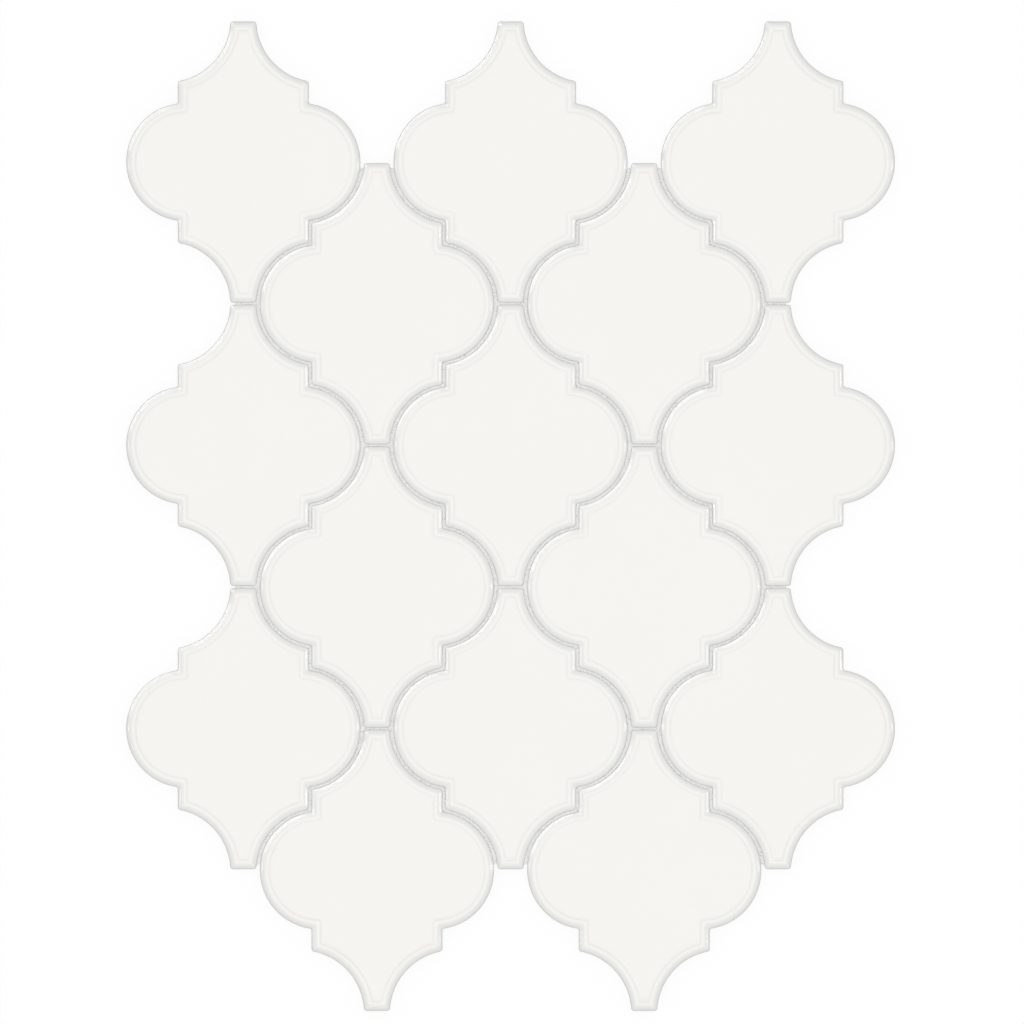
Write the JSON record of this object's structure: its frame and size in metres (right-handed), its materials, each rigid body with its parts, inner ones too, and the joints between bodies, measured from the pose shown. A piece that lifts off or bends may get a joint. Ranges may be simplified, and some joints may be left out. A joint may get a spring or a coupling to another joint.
{
  "type": "moroccan arabesque tile",
  "caption": "Mosaic wall tile sheet of interlocking white glazed arabesque (lantern) shapes with light grouted joints on a mesh backing.",
  "frame": {"origin": "middle of the sheet's outline, on the underside of the backing mesh", "axes": "+Z out of the glazed face, +Y along the long side of the sheet towards the end with the row of three tiles, +X across it"},
  "size_m": [0.2444, 0.3146, 0.0069],
  "materials": {
    "glazed_porcelain": "smooth glossy off-white glaze over a white body",
    "grout": "matt sanded light grey cement grout",
    "fibre_mesh": "open woven glass-fibre mesh with a white coating"
  },
  "bodies": {
    "root": {"tile_row1_no1": "glazed_porcelain", "tile_row1_no2": "glazed_porcelain", "tile_row1_no3": "glazed_porcelain", "tile_row2_no1": "glazed_porcelain", "tile_row2_no2": "glazed_porcelain", "tile_row3_no1": "glazed_porcelain", "tile_row3_no2": "glazed_porcelain", "tile_row3_no3": "glazed_porcelain", "tile_row4_no1": "glazed_porcelain", "tile_row4_no2": "glazed_porcelain", "tile_row5_no1": "glazed_porcelain", "tile_row5_no2": "glazed_porcelain", "tile_row5_no3": "glazed_porcelain", "tile_row6_no1": "glazed_porcelain", "tile_row6_no2": "glazed_porcelain", "grout": "grout", "backing_mesh": "fibre_mesh"}
  },
  "joints": []
}
